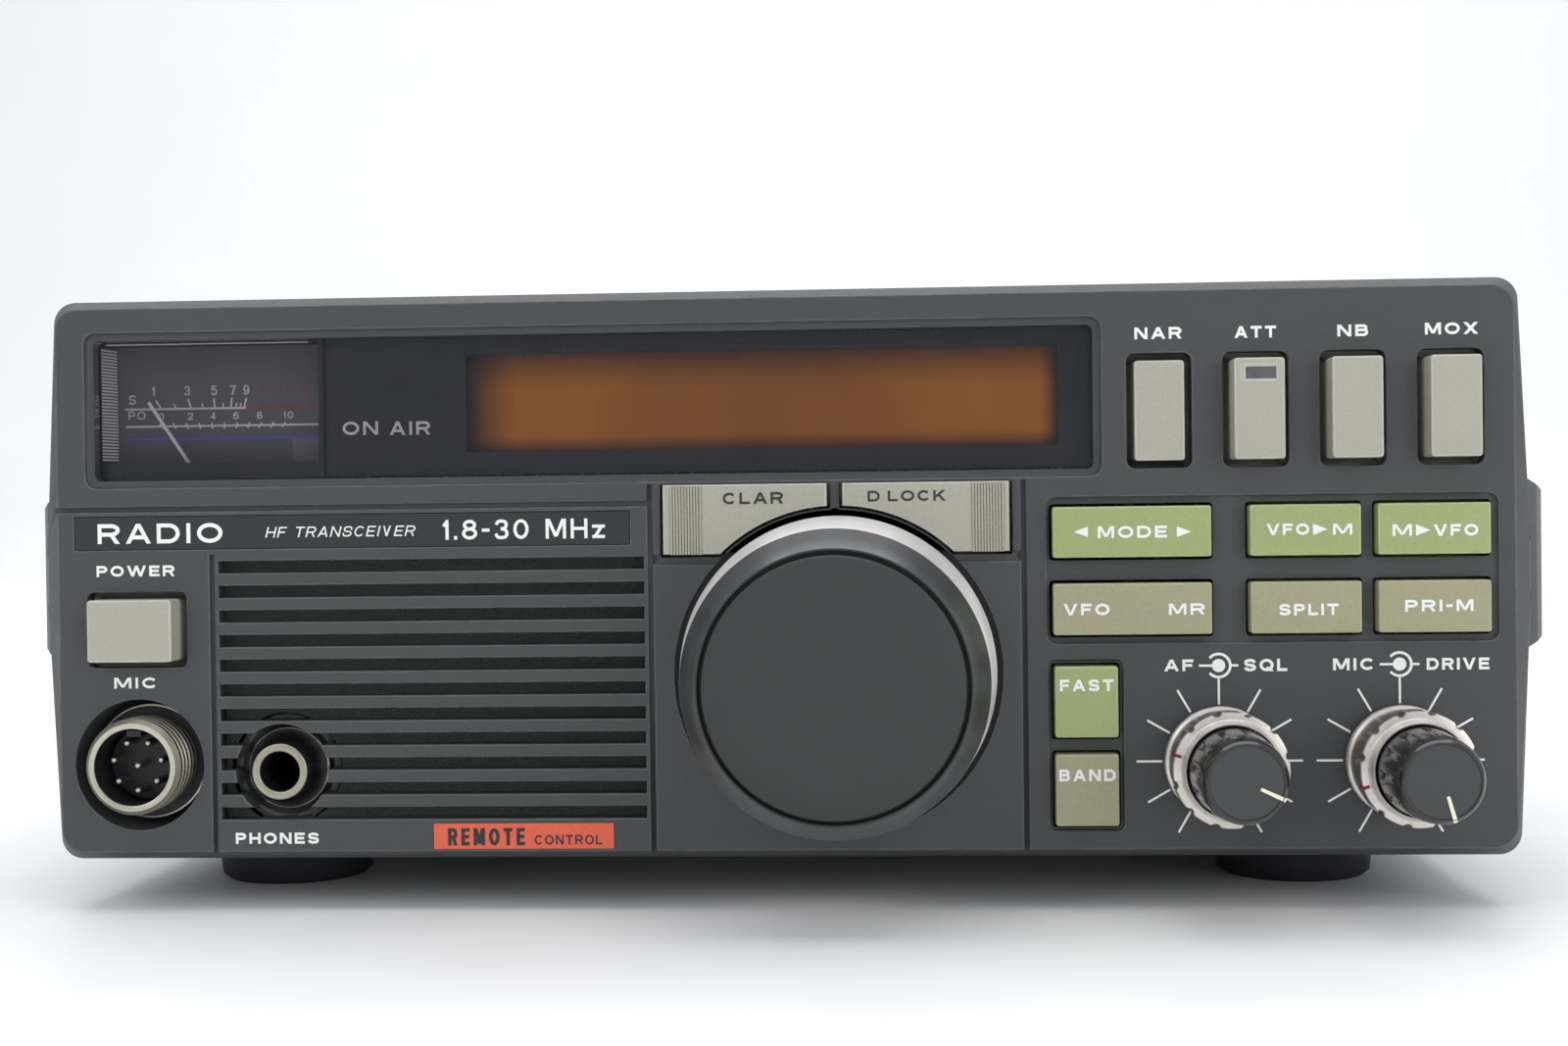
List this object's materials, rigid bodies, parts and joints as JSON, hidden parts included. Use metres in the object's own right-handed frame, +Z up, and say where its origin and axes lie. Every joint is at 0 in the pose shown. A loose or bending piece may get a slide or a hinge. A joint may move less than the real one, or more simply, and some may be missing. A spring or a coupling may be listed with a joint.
{
  "type": "radio transceiver",
  "caption": "Table-top short-wave radio transceiver with a large tuning knob, smoked display window, push keys, speaker grille and a finned heat sink.",
  "frame": {"origin": "middle of the footprint, on the surface the feet stand on", "axes": "+X to the operator's right, +Y from the front panel to the heat sink, +Z up"},
  "size_m": [0.2526, 0.264, 0.101],
  "materials": {
    "panel_plastic": "fine matt texture",
    "cover_paint": "satin dark grey paint",
    "rail_plastic": "fine matt texture",
    "smoked_window": "smoked acrylic",
    "black_plastic": "matt black",
    "meter_face": "matt black with a printed scale",
    "needle_paint": "satin off-white",
    "lcd_glass": "amber display glass",
    "circuit_board": "solder mask",
    "grille_fabric": "black dust cloth",
    "cone_paper": "pressed paper",
    "zinc_steel": "zinc plated",
    "nickel": "satin nickel plate",
    "knob_metal": "polished and brushed",
    "knob_dark": "fine dark texture",
    "button_plastic": "fine matt beige-grey",
    "green_key_plastic": "matt yellow-green",
    "olive_key_plastic": "matt olive",
    "small_knob_plastic": "satin black",
    "label_film": "printed orange film",
    "strip_film": "black printed film",
    "foot_rubber": "black rubber",
    "screw_black": "black oxide",
    "fin_paint": "black anodised",
    "ptfe": "white insulator"
  },
  "bodies": {
    "case": {"front_panel": "panel_plastic", "display_window": "smoked_window", "window_mask": "black_plastic", "meter_case": "black_plastic", "meter_scale": "meter_face", "lcd_panel": "lcd_glass", "display_board": "circuit_board", "key_board": "circuit_board", "grille_cloth": "grille_fabric", "speaker_frame": "zinc_steel", "speaker_cone": "cone_paper", "mic_socket_shell": "nickel", "mic_socket_insert": "black_plastic", "mic_socket_pins": "nickel", "phones_jack": "nickel", "name_strip": "strip_film", "accent_label": "label_film", "encoder_body": "zinc_steel", "pot_bodies": "zinc_steel", "switch_bodies": "black_plastic", "chassis": "zinc_steel", "main_board": "circuit_board", "shield_cans": "zinc_steel", "top_cover": "cover_paint", "bottom_cover": "cover_paint", "side_rails": "rail_plastic", "feet": "foot_rubber", "case_screws": "screw_black", "rear_panel": "zinc_steel", "heat_sink": "fin_paint", "antenna_socket": "nickel", "antenna_insulator": "ptfe", "power_inlet": "black_plastic", "ground_post": "nickel", "ground_wing_nut": "nickel", "rear_jacks": "nickel", "accessory_sockets": "black_plastic"},
    "tuning": {"tuning_knob": "knob_metal", "tuning_knob_cap": "knob_dark", "tuning_shaft": "zinc_steel"},
    "squelch": {"squelch_ring": "knob_metal"},
    "volume": {"af_knob": "small_knob_plastic"},
    "drive": {"drive_ring": "knob_metal"},
    "mic_gain": {"mic_gain_knob": "small_knob_plastic"},
    "power": {"power_button": "button_plastic"},
    "narrow": {"narrow_button": "button_plastic"},
    "attenuator": {"attenuator_button": "button_plastic"},
    "noise_blanker": {"noise_blanker_button": "button_plastic"},
    "mox": {"mox_button": "button_plastic"},
    "clarifier": {"clarifier_button": "button_plastic"},
    "dial_lock": {"dial_lock_button": "button_plastic"},
    "mode": {"mode_rocker": "green_key_plastic"},
    "vfo_mr": {"vfo_mr_rocker": "olive_key_plastic"},
    "vfo_to_memory": {"vfo_to_memory_key": "green_key_plastic"},
    "memory_to_vfo": {"memory_to_vfo_key": "green_key_plastic"},
    "split": {"split_key": "olive_key_plastic"},
    "priority": {"priority_key": "olive_key_plastic"},
    "fast": {"fast_key": "green_key_plastic"},
    "band": {"band_key": "olive_key_plastic"},
    "needle": {"meter_needle": "needle_paint"}
  },
  "joints": [
    {"name": "tuning_turn", "type": "hinge", "parent": "case", "child": "tuning", "pos_m": [0.0103, -0.10605, 0.03815], "axis": [0, 1, 0], "continuous": true},
    {"name": "squelch_turn", "type": "hinge", "parent": "case", "child": "squelch", "pos_m": [0.0708, -0.10605, 0.0238], "axis": [0, 1, 0], "range_deg": [-62, 238]},
    {"name": "volume_turn", "type": "hinge", "parent": "case", "child": "volume", "pos_m": [0.0708, -0.10605, 0.0238], "axis": [0, 1, 0], "range_deg": [-251, 49]},
    {"name": "drive_turn", "type": "hinge", "parent": "case", "child": "drive", "pos_m": [0.09915, -0.10605, 0.0238], "axis": [0, 1, 0], "range_deg": [-28, 272]},
    {"name": "mic_gain_turn", "type": "hinge", "parent": "case", "child": "mic_gain", "pos_m": [0.09915, -0.10605, 0.0238], "axis": [0, 1, 0], "range_deg": [-300, 0]},
    {"name": "power_press", "type": "slide", "parent": "case", "child": "power", "axis": [0, 1, 0], "range_m": [0, 0.003], "stiffness_N_per_m": 150},
    {"name": "attenuator_press", "type": "slide", "parent": "case", "child": "attenuator", "axis": [0, 1, 0], "range_m": [0, 0.003], "stiffness_N_per_m": 150},
    {"name": "noise_blanker_press", "type": "slide", "parent": "case", "child": "noise_blanker", "axis": [0, 1, 0], "range_m": [0, 0.003], "stiffness_N_per_m": 150},
    {"name": "mox_press", "type": "slide", "parent": "case", "child": "mox", "axis": [0, 1, 0], "range_m": [0, 0.003], "stiffness_N_per_m": 150},
    {"name": "narrow_press", "type": "slide", "parent": "case", "child": "narrow", "axis": [0, 1, 0], "range_m": [-0.003, 0]},
    {"name": "clarifier_press", "type": "slide", "parent": "case", "child": "clarifier", "axis": [0, 1, 0], "range_m": [0, 0.0008], "stiffness_N_per_m": 300},
    {"name": "dial_lock_press", "type": "slide", "parent": "case", "child": "dial_lock", "axis": [0, 1, 0], "range_m": [0, 0.0008], "stiffness_N_per_m": 300},
    {"name": "vfo_to_memory_press", "type": "slide", "parent": "case", "child": "vfo_to_memory", "axis": [0, 1, 0], "range_m": [0, 0.0008], "stiffness_N_per_m": 300},
    {"name": "memory_to_vfo_press", "type": "slide", "parent": "case", "child": "memory_to_vfo", "axis": [0, 1, 0], "range_m": [0, 0.0008], "stiffness_N_per_m": 300},
    {"name": "split_press", "type": "slide", "parent": "case", "child": "split", "axis": [0, 1, 0], "range_m": [0, 0.0008], "stiffness_N_per_m": 300},
    {"name": "priority_press", "type": "slide", "parent": "case", "child": "priority", "axis": [0, 1, 0], "range_m": [0, 0.0008], "stiffness_N_per_m": 300},
    {"name": "fast_press", "type": "slide", "parent": "case", "child": "fast", "axis": [0, 1, 0], "range_m": [0, 0.0008], "stiffness_N_per_m": 300},
    {"name": "band_press", "type": "slide", "parent": "case", "child": "band", "axis": [0, 1, 0], "range_m": [0, 0.0008], "stiffness_N_per_m": 300},
    {"name": "mode_tip", "type": "hinge", "parent": "case", "child": "mode", "pos_m": [0.0572, -0.10125, 0.06045], "axis": [0, 0, 1], "range_deg": [-2.5, 2.5], "stiffness_Nm_per_rad": 0.05},
    {"name": "vfo_mr_tip", "type": "hinge", "parent": "case", "child": "vfo_mr", "pos_m": [0.0572, -0.10125, 0.0482], "axis": [0, 0, 1], "range_deg": [-2.5, 2.5], "stiffness_Nm_per_rad": 0.05},
    {"name": "needle_swing", "type": "hinge", "parent": "case", "child": "needle", "pos_m": [-0.0932, -0.09885, 0.0665], "axis": [0, 1, 0], "range_deg": [0, 70], "stiffness_Nm_per_rad": 0.00002}
  ]
}
